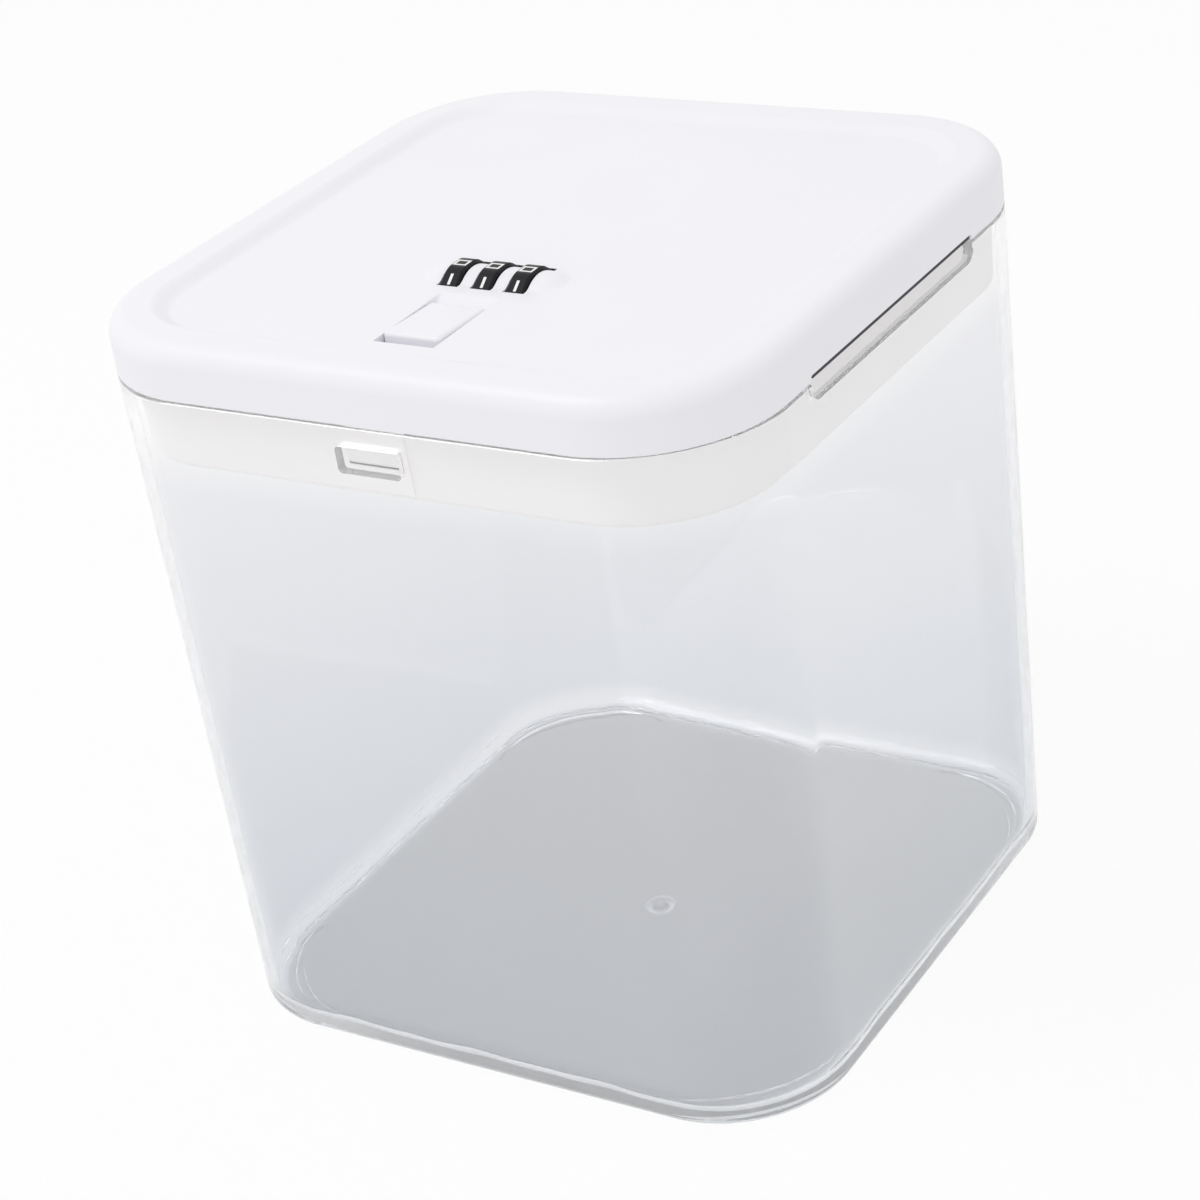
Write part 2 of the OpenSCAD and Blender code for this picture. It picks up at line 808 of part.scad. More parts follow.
// A wedge that rises to the front, on a stem that reaches down to the bolt
module thumb_slider() {
    nose = 1.2;
    color(white)
        difference() {
            union() {
                side_view(-slider_w / 2, slider_w / 2)
                    polygon(concat(
                        [[slider_rear_y, slider_low]],
                        [[slider_rear_y, panel_z - 0.4]],
                        [[slider_rear_y - 0.4, panel_z]],
                        arc(slider_front_y + nose, panel_z + slider_lift - nose, nose, 90, 180),
                        [[slider_front_y, slider_low]]
                    ));
                block(
                    [-stem_half, stem_front_y, bolt_top],
                    [stem_half, stem_rear_y, slider_low + 0.1]
                );
            }
            for (y = SLIDER_SCREWS)
                translate([0, y, bolt_top]) screw_hole(small_r, 7);
        }
}

module slider_screws() {
    color(steel)
        for (y = SLIDER_SCREWS)
            translate([0, y, bolt_under - small_head_h])
                screw(small_r, bolt_t + 6, small_head_r, small_head_h);
}

// A bent leaf on the cover whose crest clicks under the bolt's plate
module bolt_click_spring() {
    rear_y = stem_rear_y + 10;
    crest_z = bolt_under - move_gap;
    low_y = stem_rear_y + 3;
    color(steel)
        side_view(-2.5, 2.5)
            polygon([
                [low_y, cover_top],
                [rear_y, cover_top],
                [rear_y, crest_z],
                [low_y + 2, crest_z],
                [low_y + 2, crest_z - leaf_t],
                [rear_y - leaf_t, crest_z - leaf_t],
                [rear_y - leaf_t, cover_top + leaf_t],
                [low_y, cover_top + leaf_t]
            ]);
}

// A push button through the cover, held in by its flange
module reset_button() {
    color(grey) {
        translate([0, button_y, plug_bottom])
            cylinder(r = button_r, h = button_flange_z - plug_bottom + 0.1);
        translate([0, button_y, button_flange_z])
            cylinder(r = button_flange_r, h = button_flange_t);
    }
}

// One ring of wire section points on the spring's helix at turn t
function coil_ring(t, low, rise, sides) = [
    for (s = [0 : sides - 1])
        let (a = 360 * t)
        let (b = 360 * s / sides)
        let (reach = spring_r + spring_wire / 2 * cos(b))
        [reach * cos(a), reach * sin(a), low + rise * t + spring_wire / 2 * sin(b)]
];

module reset_spring() {
    sides = 6;
    rings_per_turn = 12;
    rings = spring_turns * rings_per_turn;
    low = spring_low + spring_wire / 2 + 0.1;
    rise = (frame_floor - spring_wire - 0.2 - spring_low) / spring_turns;
    points = [for (k = [0 : rings]) each coil_ring(k / rings_per_turn, low, rise, sides)];
    walls = [
        for (k = [0 : rings - 1])
            for (s = [0 : sides - 1])
                let (here = k * sides + s)
                let (next = k * sides + (s + 1) % sides)
                each [[here, here + sides, next], [next, here + sides, next + sides]]
    ];
    first_cap = [for (s = [1 : sides - 2]) [0, s, s + 1]];
    last_cap = [for (s = [1 : sides - 2]) [rings * sides, rings * sides + s + 1, rings * sides + s]];
    color(steel)
        translate([0, button_y, 0])
            polyhedron(points = points, faces = concat(walls, first_cap, last_cap));
}

container();
lid_shell();
lid_plug();
plug_screws();
lock_chassis();
chassis_screws();
dial_shaft();
shaft_clips();
dial_left();
dial_middle();
dial_right();
code_sleeve_left();
code_sleeve_middle();
code_sleeve_right();
detent_spring();
detent_screws();
lock_bolt();
fence_comb();
bolt_keeper();
keeper_screws();
thumb_slider();
slider_screws();
bolt_click_spring();
reset_button();
reset_spring();
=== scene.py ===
import math

import bmesh
import bpy
from mathutils import Matrix, Vector


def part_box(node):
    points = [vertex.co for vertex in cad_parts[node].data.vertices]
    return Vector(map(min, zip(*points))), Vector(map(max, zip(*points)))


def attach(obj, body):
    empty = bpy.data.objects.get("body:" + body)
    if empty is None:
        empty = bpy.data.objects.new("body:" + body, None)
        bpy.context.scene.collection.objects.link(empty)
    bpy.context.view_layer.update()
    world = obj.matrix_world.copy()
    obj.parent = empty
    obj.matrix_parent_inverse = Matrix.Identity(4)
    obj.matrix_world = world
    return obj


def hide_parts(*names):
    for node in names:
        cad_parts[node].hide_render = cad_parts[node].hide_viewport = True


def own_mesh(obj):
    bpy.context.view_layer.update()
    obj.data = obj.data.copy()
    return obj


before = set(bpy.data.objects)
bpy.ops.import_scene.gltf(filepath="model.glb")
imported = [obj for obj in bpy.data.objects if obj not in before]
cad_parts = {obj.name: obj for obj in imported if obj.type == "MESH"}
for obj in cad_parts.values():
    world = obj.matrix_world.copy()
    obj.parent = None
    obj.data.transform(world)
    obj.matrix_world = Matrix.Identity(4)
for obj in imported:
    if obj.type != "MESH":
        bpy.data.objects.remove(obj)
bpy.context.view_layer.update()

# Container: one clear polystyrene moulding. Its walls lean out to the rim, and it stands on
# four crescent feet. Windows for the tongue and the lug and two finger gaps are cut in the rim.
mm = 0.001
box_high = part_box("container")[1]
rim_z = box_high.z
half_w = box_high.x
corner_r = 34 * mm
core = half_w - corner_r
wall_t = 2.5 * mm
wall_lean = 3.3 * mm
rim_round = 0.6 * mm
base_round = 2.2 * mm
foot_h = 0.8 * mm
floor_t = 2.2 * mm
floor_z = foot_h + floor_t
floor_fillet = 4.0 * mm
fillet_z = floor_z + floor_fillet
fillet_steps = 10
side_steps = 40
corner_steps = 24


def arc(x, z, r, start, end, steps=8):
    """Profile points on an arc, as distance out from the corner centres and height."""
    turns = [math.radians(start + (end - start) * i / steps) for i in range(steps + 1)]
    return [(x + r * math.cos(a), z + r * math.sin(a)) for a in turns]


def level_line(r, z, steps, side_steps=1):
    """A closed line round the box: quarter circles about the corner centres, straight sides."""
    corners = []
    for quarter, (side_x, side_y) in enumerate(((1, 1), (-1, 1), (-1, -1), (1, -1))):
        turns = [math.radians(90 * (quarter + i / steps)) for i in range(steps + 1)]
        centre = Vector((side_x * core, side_y * core, z))
        corners.append([centre + Vector((r * math.cos(a), r * math.sin(a), 0)) for a in turns])
    points = []
    for corner, following in zip(corners, corners[1:] + corners[:1]):
        points += corner
        points += [corner[-1].lerp(following[0], i / side_steps) for i in range(1, side_steps)]
    return points


def skin(bm, lines, join=False):
    """Skins closed lines of equal length in turn, then caps both ends or joins them."""
    rows = [[bm.verts.new(p) for p in line] for line in lines]
    pairs = list(zip(rows, rows[1:]))
    if join:
        pairs.append((rows[-1], rows[0]))
    else:
        bm.faces.new(rows[0][::-1])
        bm.faces.new(rows[-1])
    for low, high in pairs:
        for i, corner in enumerate(low):
            j = (i + 1) % len(low)
            bm.faces.new((corner, low[j], high[j], high[i]))
    return rows


def make_piece(name, bm):
    """A mesh object from a bmesh, with its faces turned outward."""
    bmesh.ops.recalc_face_normals(bm, faces=bm.faces)
    mesh = bpy.data.meshes.new(name)
    bm.to_mesh(mesh)
    bm.free()
    piece = bpy.data.objects.new(name, mesh)
    bpy.context.scene.collection.objects.link(piece)
    return piece


def rounded_block(name, low, high, r, along=None, steps=6):
    """A block with rounded edges: all of them, or only those along one axis."""
    bm = bmesh.new()
    bmesh.ops.create_cube(bm, size=1)
    low, high = Vector(low), Vector(high)
    for v in bm.verts:
        v.co = Vector([low[i] + (v.co[i] + 0.5) * (high[i] - low[i]) for i in range(3)])
    edges = bm.edges[:]
    if along is not None:
        runs = [(e, (e.verts[0].co - e.verts[1].co).normalized()) for e in edges]
        edges = [e for e, run in runs if abs(run[along]) > 0.9]
    if r:
        bmesh.ops.bevel(bm, geom=edges, offset=r, segments=steps, profile=0.5, affect="EDGES")
    return make_piece(name, bm)


def shape_with(piece, tool, operation="DIFFERENCE"):
    """Cuts a tool out of a piece, or joins it on, and throws the tool away."""
    change = piece.modifiers.new("shape", "BOOLEAN")
    change.object = tool
    change.operation = operation
    change.solver = "EXACT"
    graph = bpy.context.evaluated_depsgraph_get()
    shaped = bpy.data.meshes.new_from_object(piece.evaluated_get(graph))
    piece.modifiers.clear()
    piece.data = shaped
    bpy.data.objects.remove(tool)


def smooth(piece, sharpest=30, weld=0.002 * mm):
    """Welds what cutting left, then shades softly up to an angle, with flat faces kept flat."""
    bm = bmesh.new()
    bm.from_mesh(piece.data)
    bmesh.ops.remove_doubles(bm, verts=bm.verts, dist=weld)
    bmesh.ops.dissolve_degenerate(bm, edges=bm.edges, dist=weld)
    bmesh.ops.holes_fill(bm, edges=[e for e in bm.edges if e.is_boundary], sides=4)
    bm.to_mesh(piece.data)
    bm.free()
    piece.data.shade_smooth()
    piece.data.set_sharp_from_angle(angle=math.radians(sharpest))
    weigh = piece.modifiers.new("flat faces", "WEIGHTED_NORMAL")
    weigh.keep_sharp = True


def wall_r(z):
    """Distance of the wall's outer face from the corner centres at a height."""
    return corner_r - wall_lean * (rim_z - z) / (rim_z - foot_h)


foot_line_r = wall_r(foot_h + base_round) - base_round
inner_rim_r = corner_r - wall_t + rim_round
floor_line_r = wall_r(fillet_z) - wall_t - floor_fillet
body_profile = arc(foot_line_r, foot_h + base_round, base_round, -90, 0)
body_profile += arc(corner_r - rim_round, rim_z - rim_round, rim_round, 0, 90, 5)
body_profile += arc(inner_rim_r, rim_z - rim_round, rim_round, 90, 180, 5)
body_profile += arc(floor_line_r, fillet_z, floor_fillet, 0, -90, fillet_steps)
bm = bmesh.new()
rows = skin(bm, [level_line(r, z, corner_steps, side_steps) for r, z in body_profile])

# The floor's fillet shrinks a little unevenly as it cools, so its highlight wavers. The waves
# are given by their share of the depth, their length in mm and their start.
fillet_wave = 0.14 * mm
shrink_waves = ((1, 5.3, 0), (0.7, 2.9, 1.1), (0.5, 11.7, 0))
for i, row in enumerate(rows[-fillet_steps - 1:]):
    swell = fillet_wave * math.sin(math.pi * i / fillet_steps)
    for v in row:
        run = (v.co.x - v.co.y) / mm
        waver = sum(share * math.sin(run / length + start) for share, length, start in shrink_waves)
        inward = Vector((-v.co.x, -v.co.y, 0)).normalized() + Vector((0, 0, 1))
        v.co += inward.normalized() * swell * waver
container = make_piece("container_body", bm)

window_w, window_h, window_r = 16.5 * mm, 6.4 * mm, 1.0 * mm
window_z = 165.3 * mm
gap_half, gap_depth, gap_r = 40 * mm, 4.0 * mm, 3.0 * mm
cut_in, cut_out = 78 * mm, 90 * mm
for side in (-1, 1):
    near, far = sorted((side * cut_in, side * cut_out))
    window = rounded_block(
        "window_tool",
        (-window_w / 2, near, window_z - window_h / 2),
        (window_w / 2, far, window_z + window_h / 2),
        window_r, along=1,
    )
    shape_with(container, window)
    finger_gap = rounded_block(
        "gap_tool",
        (near, -gap_half, rim_z - gap_depth),
        (far, gap_half, rim_z + gap_depth),
        gap_r, along=0, steps=10,
    )
    shape_with(container, finger_gap)

# The finger gaps' edges are rounded over so that they don't cut.
gap_soft = 0.8 * mm
gap_margin = 0.05 * mm
gap_ends = 1.2 * mm
sharp_turn = 1
bm = bmesh.new()
bm.from_mesh(container.data)
gap_edges = [
    e for e in bm.edges
    if e.calc_face_angle(0) > sharp_turn and all(
        abs(v.co.x) > cut_in and abs(v.co.y) < gap_half + gap_margin
        and rim_z - gap_depth - gap_margin < v.co.z < rim_z - gap_ends for v in e.verts
    )
]
bmesh.ops.bevel(bm, geom=gap_edges, offset=gap_soft, segments=4, profile=0.5, affect="EDGES")
bm.to_mesh(container.data)
bm.free()

# Each corner has a crescent foot underneath, and a shallow dip in the floor inside it.
foot_w = 3.0 * mm
foot_reach = 26.0 * mm
foot_back = 36.0 * mm
foot_spread = 62
foot_steps = 28
foot_tip = 0.15 * mm
foot_soft = 0.35 * mm
foot_top = foot_h + 0.6 * mm
dip_h = 0.5 * mm
dip_slope = 0.5 * mm
dip_in = 2.4 * mm
dip_over = floor_z + 2 * mm
for quarter in range(4):
    centre = Matrix.Rotation(math.radians(90 * quarter), 3, "Z") @ Vector((core, core, 0))
    turn = Matrix.Rotation(math.radians(45 + 90 * quarter), 3, "Z")
    sections = []
    dips = []
    for i in range(foot_steps + 1):
        a = math.radians(-foot_spread + 2 * foot_spread * i / foot_steps)
        along, across = foot_reach * math.cos(a), foot_reach * math.sin(a)
        back = foot_reach - foot_w - foot_back + math.sqrt(foot_back**2 - across**2)
        back = min(back, along - foot_tip)
        soft = min(foot_soft, (along - back) / 3)
        outer = [(along, foot_top)] + arc(along - soft, soft, soft, 0, -90, 3)
        inner = arc(back + soft, soft, soft, -90, -180, 3) + [(back, foot_top)]
        sections.append([centre + turn @ Vector((x, across, z)) for x, z in outer + inner])
        back -= dip_in
        along = max(along - dip_in, back + foot_tip)
        slope = min(dip_slope, (along - back) / 3)
        dip = [(along, floor_z), (along - slope, floor_z - dip_h)]
        dip += [(back + slope, floor_z - dip_h), (back, floor_z)]
        dip += [(back, dip_over), (along, dip_over)]
        dips.append([centre + turn @ Vector((x, across, z)) for x, z in dip])
    bm = bmesh.new()
    skin(bm, sections)
    shape_with(container, make_piece("foot_tool", bm), "UNION")
    bm = bmesh.new()
    skin(bm, dips)
    shape_with(container, make_piece("dip_tool", bm))

# The gate, where the plastic entered the mould, is a shallow round recess under the floor.
gate_x, gate_y = 4 * mm, -7 * mm
gate_r, gate_h = 2.2 * mm, 0.4 * mm
gate_steps = 48
gate_profile = ((gate_r, -gate_h), (gate_r, 0.6 * gate_h), (gate_r - gate_h, gate_h))
gate_turns = [2 * math.pi * i / gate_steps for i in range(gate_steps)]
bm = bmesh.new()
skin(bm, [
    [(gate_x + r * math.cos(a), gate_y + r * math.sin(a), foot_h + h) for a in gate_turns]
    for r, h in gate_profile
])
shape_with(container, make_piece("gate_tool", bm))
smooth(container)


def linear(code):
    """An sRGB hex colour as the linear colour that shaders take."""
    parts = [int(code[i:i + 2], 16) / 255 for i in (1, 3, 5)]
    return [c / 12.92 if c <= 0.04045 else ((c + 0.055) / 1.055) ** 2.4 for c in parts] + [1]


def add(tree, kind, sockets=None, **settings):
    """Adds a shader node, applies its settings, and fills or links its sockets."""
    node = tree.nodes.new("ShaderNode" + kind)
    for name, value in settings.items():
        setattr(node, name, value)
    for key, value in (sockets or {}).items():
        if isinstance(value, bpy.types.NodeSocket):
            tree.links.new(value, node.inputs[key])
        else:
            node.inputs[key].default_value = value
    return node


def new_material(name):
    """An empty material and its node tree."""
    material = bpy.data.materials.new(name)
    material.use_nodes = True
    material.node_tree.nodes.clear()
    return material, material.node_tree


# Moulded clear polystyrene: clearest at the rim. A cool grey painted shade gathers down the wall
# and most of all in the floor, which is a little rough from use. The floor's fillet and the edges
# over the feet have a painted white highlight, and slow waves left by the mould steel bend the
# view a little.
clear_styrene, tree = new_material("clear_polystyrene_moulded")
place = add(tree, "TexCoord").outputs["Object"]
axes = add(tree, "SeparateXYZ", {0: place}).outputs
height = axes["Z"]
painted_shade_to = 0.9 * rim_z
clear_from, clear_to = 0.87 * rim_z, 0.92 * rim_z
# Painted shade: the clear plastic is painted greyer lower down the wall.
up_wall = add(tree, "MapRange", {"Value": height, "From Min": 0, "From Max": painted_shade_to})
cloud_and_painted_shade = add(tree, "Mix", {
    0: up_wall.outputs[0], 6: linear("#E4E7EB"), 7: linear("#F8F8FA"),
}, data_type="RGBA")
near_rim = add(tree, "MapRange", {"Value": height, "From Min": clear_from, "From Max": clear_to})
cloud_and_painted_shade = add(tree, "Mix", {
    0: near_rim.outputs[0], 6: cloud_and_painted_shade.outputs[2], 7: linear("#FFFFFF"),
}, data_type="RGBA")

# The floor's painted shade, a darker grey, lies within a distance of the corner centres and under
# a height. At the front both grow, so that the fillet there is painted as grey as the floor.
spread = add(tree, "VectorMath", {0: place}, operation="ABSOLUTE")
past = add(tree, "VectorMath", {
    0: spread.outputs[0], 1: (core, core, rim_z),
}, operation="SUBTRACT")
past = add(tree, "VectorMath", {0: past.outputs[0], 1: (0, 0, 0)}, operation="MAXIMUM")
out_from_core = add(tree, "VectorMath", {0: past.outputs[0]}, operation="LENGTH").outputs["Value"]
front_y, front_end_y = -80 * mm, -62 * mm
front_reach = 3 * mm
grey_r, grey_end_r = 24.5 * mm, 27 * mm
grey_z, grey_end_z = 4 * mm, 7 * mm
at_front = add(tree, "MapRange", {
    "Value": axes["Y"], "From Min": front_y, "From Max": front_end_y,
    "To Min": front_reach, "To Max": 0,
})
out_of_floor = add(tree, "Math", {0: out_from_core, 1: at_front.outputs[0]}, operation="SUBTRACT")
over_floor = add(tree, "Math", {0: height, 1: at_front.outputs[0]}, operation="SUBTRACT")
inside = add(tree, "MapRange", {
    "Value": out_of_floor.outputs[0], "From Min": grey_r, "From Max": grey_end_r,
    "To Min": 1, "To Max": 0,
})
under = add(tree, "MapRange", {
    "Value": over_floor.outputs[0], "From Min": grey_z, "From Max": grey_end_z,
    "To Min": 1, "To Max": 0,
})
floor = add(tree, "Math", {0: inside.outputs[0], 1: under.outputs[0]}, operation="MULTIPLY")
# Painted shade: the floor is tinted a darker grey.
tint = add(tree, "Mix", {
    0: floor.outputs[0], 6: cloud_and_painted_shade.outputs[2], 7: linear("#C2C3C5"),
}, data_type="RGBA")

# Over the gate recess, a pale rim and a darker ring are painted in: painted highlight and shade.
gate_at = (gate_x, gate_y, floor_z)
mark_r = 3.8 * mm
from_gate = add(tree, "VectorMath", {0: place, 1: gate_at}, operation="DISTANCE").outputs["Value"]
gate_ring = add(tree, "Math", {0: from_gate, 1: mark_r / 2}, operation="PINGPONG")
gate_ring = add(tree, "MapRange", {"Value": gate_ring.outputs[0], "From Max": mark_r / 2})
painted_gate_ring = add(tree, "Mix", {
    0: gate_ring.outputs[0], 6: linear("#E2E2E4"), 7: linear("#A7A8AC"),
}, data_type="RGBA")
gate_mark = add(tree, "Math", {0: from_gate, 1: mark_r + gate_h}, operation="LESS_THAN")
tint = add(tree, "Mix", {
    0: gate_mark.outputs[0], 6: tint.outputs[2], 7: painted_gate_ring.outputs[2],
}, data_type="RGBA")

# The inner fillet, apart from its front, and the dips' slopes get a painted highlight in white.
inner_r, inner_end_r = 28.6 * mm, 29.6 * mm
bright_z = fillet_z - 0.7 * floor_fillet
fading_z = fillet_z - 0.3 * floor_fillet
above = add(tree, "MapRange", {
    "Value": height, "From Min": fillet_z - floor_fillet, "From Max": bright_z,
})
below = add(tree, "MapRange", {
    "Value": height, "From Min": fading_z, "From Max": fillet_z + floor_fillet,
    "To Min": 1, "To Max": 0,
})
inner_face = add(tree, "MapRange", {
    "Value": out_from_core, "From Min": inner_r, "From Max": inner_end_r,
    "To Min": 1, "To Max": 0,
})
painted_highlight = add(tree, "Math", {0: above.outputs[0], 1: below.outputs[0]}, operation="MULTIPLY")
rear = add(tree, "MapRange", {
    "Value": at_front.outputs[0], "From Max": front_reach, "To Min": 1, "To Max": 0,
})
painted_highlight = add(tree, "Math", {0: painted_highlight.outputs[0], 1: rear.outputs[0]}, operation="MULTIPLY")
dip_edge = add(tree, "Math", {
    0: height, 1: floor_z - 0.5 * dip_h, 2: 0.42 * dip_h,
}, operation="COMPARE")
painted_highlight = add(tree, "Math", {0: painted_highlight.outputs[0], 1: dip_edge.outputs[0]}, operation="MAXIMUM")
painted_highlight = add(tree, "Math", {0: painted_highlight.outputs[0], 1: inner_face.outputs[0]}, operation="MULTIPLY")
# Painted highlight: these places are tinted white.
tint = add(tree, "Mix", {
    0: painted_highlight.outputs[0], 6: tint.outputs[2], 7: linear("#FFFFFF"),
}, data_type="RGBA")

# What is kept in the box wears the floor's upper face.
worn_depth = 1 * mm
worn_roughness = 0.15
plain = add(tree, "Math", {0: 1, 1: painted_highlight.outputs[0]}, operation="SUBTRACT")
worn = add(tree, "Math", {0: floor.outputs[0], 1: plain.outputs[0]}, operation="MULTIPLY")
upper_face = add(tree, "Math", {0: height, 1: floor_z - worn_depth}, operation="GREATER_THAN")
worn = add(tree, "Math", {0: worn.outputs[0], 1: upper_face.outputs[0]}, operation="MULTIPLY")
gloss = add(tree, "MapRange", {"Value": worn.outputs[0], "To Min": 0, "To Max": worn_roughness})

# The ledge of each finger gap is frosted white, up to its clear outer edge.
ledge_z, ledge_reach = rim_z - gap_depth + 0.3 * mm, 0.7 * mm
ledge_in = half_w - wall_t - 1.2 * mm
ledge_out = half_w - 0.75 * mm
clear_share, frosted_share = 0.9, 0.15
apart = add(tree, "SeparateXYZ", {0: spread.outputs[0]}).outputs
gap_ledge = add(tree, "Math", {0: height, 1: ledge_z, 2: ledge_reach}, operation="COMPARE")
in_gap = add(tree, "Math", {0: apart["Y"], 1: gap_half}, operation="LESS_THAN")
side_wall = add(tree, "Math", {0: apart["X"], 1: ledge_in}, operation="GREATER_THAN")
ledge_edge = add(tree, "Math", {0: apart["X"], 1: ledge_out}, operation="LESS_THAN")
frosted = add(tree, "Math", {0: gap_ledge.outputs[0], 1: in_gap.outputs[0]}, operation="MULTIPLY")
frosted = add(tree, "Math", {0: frosted.outputs[0], 1: side_wall.outputs[0]}, operation="MULTIPLY")
frosted = add(tree, "Math", {0: frosted.outputs[0], 1: ledge_edge.outputs[0]}, operation="MULTIPLY")
clear = add(tree, "MapRange", {
    "Value": frosted.outputs[0], "To Min": clear_share, "To Max": frosted_share,
})

wave_len, wave_h = 38 * mm, 0.12 * mm
waves = add(tree, "TexNoise", {"Vector": place, "Scale": 1 / wave_len, "Detail": 1})
wave_bump = add(tree, "Bump", {"Strength": 0.25, "Distance": wave_h, "Height": waves.outputs[0]})
glass = add(tree, "BsdfPrincipled", {
    "Base Color": tint.outputs[2], "IOR": 1.45, "Transmission Weight": clear.outputs[0],
    "Roughness": gloss.outputs[0], "Normal": wave_bump.outputs[0],
})

# Light passes the plastic to what stands behind it. A ray that is caught in the wall for long is
# let out, mostly low down, because it would end black and draw dark lines along the edges.
long_caught = 5.5
lamp_way = add(tree, "BsdfTransparent", {"Color": linear("#FCFCFC")})
rays = add(tree, "LightPath").outputs
light_ray = add(tree, "Math", {
    0: rays["Is Shadow Ray"], 1: rays["Is Diffuse Ray"],
}, operation="MAXIMUM")
trapped = add(tree, "Math", {0: rays["Ray Depth"], 1: long_caught}, operation="GREATER_THAN")
let_out = add(tree, "MapRange", {"Value": up_wall.outputs[0], "To Min": 1, "To Max": 0.2})
let_out = add(tree, "Math", {0: let_out.outputs[0], 1: trapped.outputs[0]}, operation="MULTIPLY")
light_ray = add(tree, "Math", {0: light_ray.outputs[0], 1: let_out.outputs[0]}, operation="MAXIMUM")
see_through = add(tree, "MixShader", {
    0: light_ray.outputs[0], 1: glass.outputs[0], 2: lamp_way.outputs[0],
})
add(tree, "OutputMaterial", {"Surface": see_through.outputs[0]})
container.data.materials.append(clear_styrene)
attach(container, "container")
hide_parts("container")

# Plug and inner lock parts: a white moulded tray under the lid that holds the sheet steel lock
# frame, the shaft, the code sleeves and the springs. They keep their machined CAD shapes.


def moulded_plastic(name, colour, shade, roughness, grain=0.25, depth=0.006, shine=0.5):
    """Opaque moulded plastic: an even colour that clouds slightly, with mould grain in mm.

    Real spark grain is finer, about 0.05 mm. It is drawn coarser so that it shows.
    """
    cloud_len = 30 * mm
    material, tree = new_material(name)
    place = add(tree, "TexCoord").outputs["Object"]
    cloud_and_painted_shade = add(tree, "TexNoise", {"Vector": place, "Scale": 1 / cloud_len, "Detail": 2})
    tint = add(tree, "Mix", {
        0: cloud_and_painted_shade.outputs[0], 6: linear(colour), 7: linear(shade),
    }, data_type="RGBA")
    spark = add(tree, "TexNoise", {"Vector": place, "Scale": 1 / (grain * mm), "Detail": 3})
    bump = add(tree, "Bump", {
        "Strength": 0.5, "Distance": depth * mm, "Height": spark.outputs[0],
    })
    dull = add(tree, "MapRange", {
        "Value": spark.outputs[0], "To Min": roughness - 0.05, "To Max": roughness + 0.05,
    })
    shader = add(tree, "BsdfPrincipled", {
        "Base Color": tint.outputs[2], "Roughness": dull.outputs[0], "IOR": 1.53,
        "Specular IOR Level": shine, "Normal": bump.outputs[0],
    })
    add(tree, "OutputMaterial", {"Surface": shader.outputs[0]})
    return material


def plated_steel(name, colour, shade, roughness):
    """Rolled and plated steel: grey metal with fine drawn streaks that stretch its highlights."""
    streak_w, streak_h = 0.3 * mm, 0.004 * mm
    material, tree = new_material(name)
    place = add(tree, "TexCoord").outputs["Object"]
    along = add(tree, "Mapping", {"Vector": place, "Scale": (0.05, 1, 1)})
    streak = add(tree, "TexNoise", {
        "Vector": along.outputs[0], "Scale": 1 / streak_w, "Detail": 3,
    })
    tint = add(tree, "Mix", {
        0: streak.outputs[0], 6: linear(colour), 7: linear(shade),
    }, data_type="RGBA")
    dull = add(tree, "MapRange", {
        "Value": streak.outputs[0], "To Min": roughness - 0.08, "To Max": roughness + 0.08,
    })
    bump = add(tree, "Bump", {
        "Strength": 0.4, "Distance": streak_h, "Height": streak.outputs[0],
    })
    shader = add(tree, "BsdfPrincipled", {
        "Base Color": tint.outputs[2], "Metallic": 1, "Roughness": dull.outputs[0],
        "Normal": bump.outputs[0],
    })
    add(tree, "OutputMaterial", {"Surface": shader.outputs[0]})
    return material


def finish_nodes(material, *names):
    """Gives CAD nodes that keep their shape a real finish."""
    for name in names:
        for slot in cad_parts[name].material_slots:
            slot.material = material


# Satin white ABS for the tray, and acetal, which looks waxy and a little duller, for the bolt,
# the code sleeves and the button.
plug_abs = moulded_plastic("white_abs_moulded_satin", "#FCFAFA", "#F8F6F7", 0.42)
acetal = moulded_plastic("white_acetal_moulded", "#F5F5F5", "#EEEEEF", 0.35)
grey_acetal = moulded_plastic("grey_acetal_moulded", "#8C8E92", "#808287", 0.4)
# Steel from dull plated sheet to bright ground rod: greys with stretched highlights.
sheet_steel = plated_steel("zinc_plated_sheet_steel", "#C3C5C8", "#A9ACB0", 0.34)
shaft_steel = plated_steel("ground_shaft_steel", "#D2D3D5", "#BFC1C4", 0.18)
spring_steel = plated_steel("blued_spring_steel", "#A8A9AE", "#8F9096", 0.28)
screw_steel = plated_steel("zinc_plated_screw_steel", "#CBCCCF", "#B2B4B8", 0.3)
finish_nodes(plug_abs, "lid_plug")
finish_nodes(acetal, "lock_bolt")
finish_nodes(grey_acetal, "code_sleeve_left", "code_sleeve_middle", "code_sleeve_right")
finish_nodes(grey_acetal, "reset_button")
finish_nodes(sheet_steel, "lock_chassis", "bolt_keeper", "fence_comb")
finish_nodes(shaft_steel, "dial_shaft", "shaft_clips")
finish_nodes(spring_steel, "detent_spring", "bolt_click_spring")
finish_nodes(screw_steel, "plug_screws", "chassis_screws", "detent_screws")
finish_nodes(screw_steel, "keeper_screws", "slider_screws")

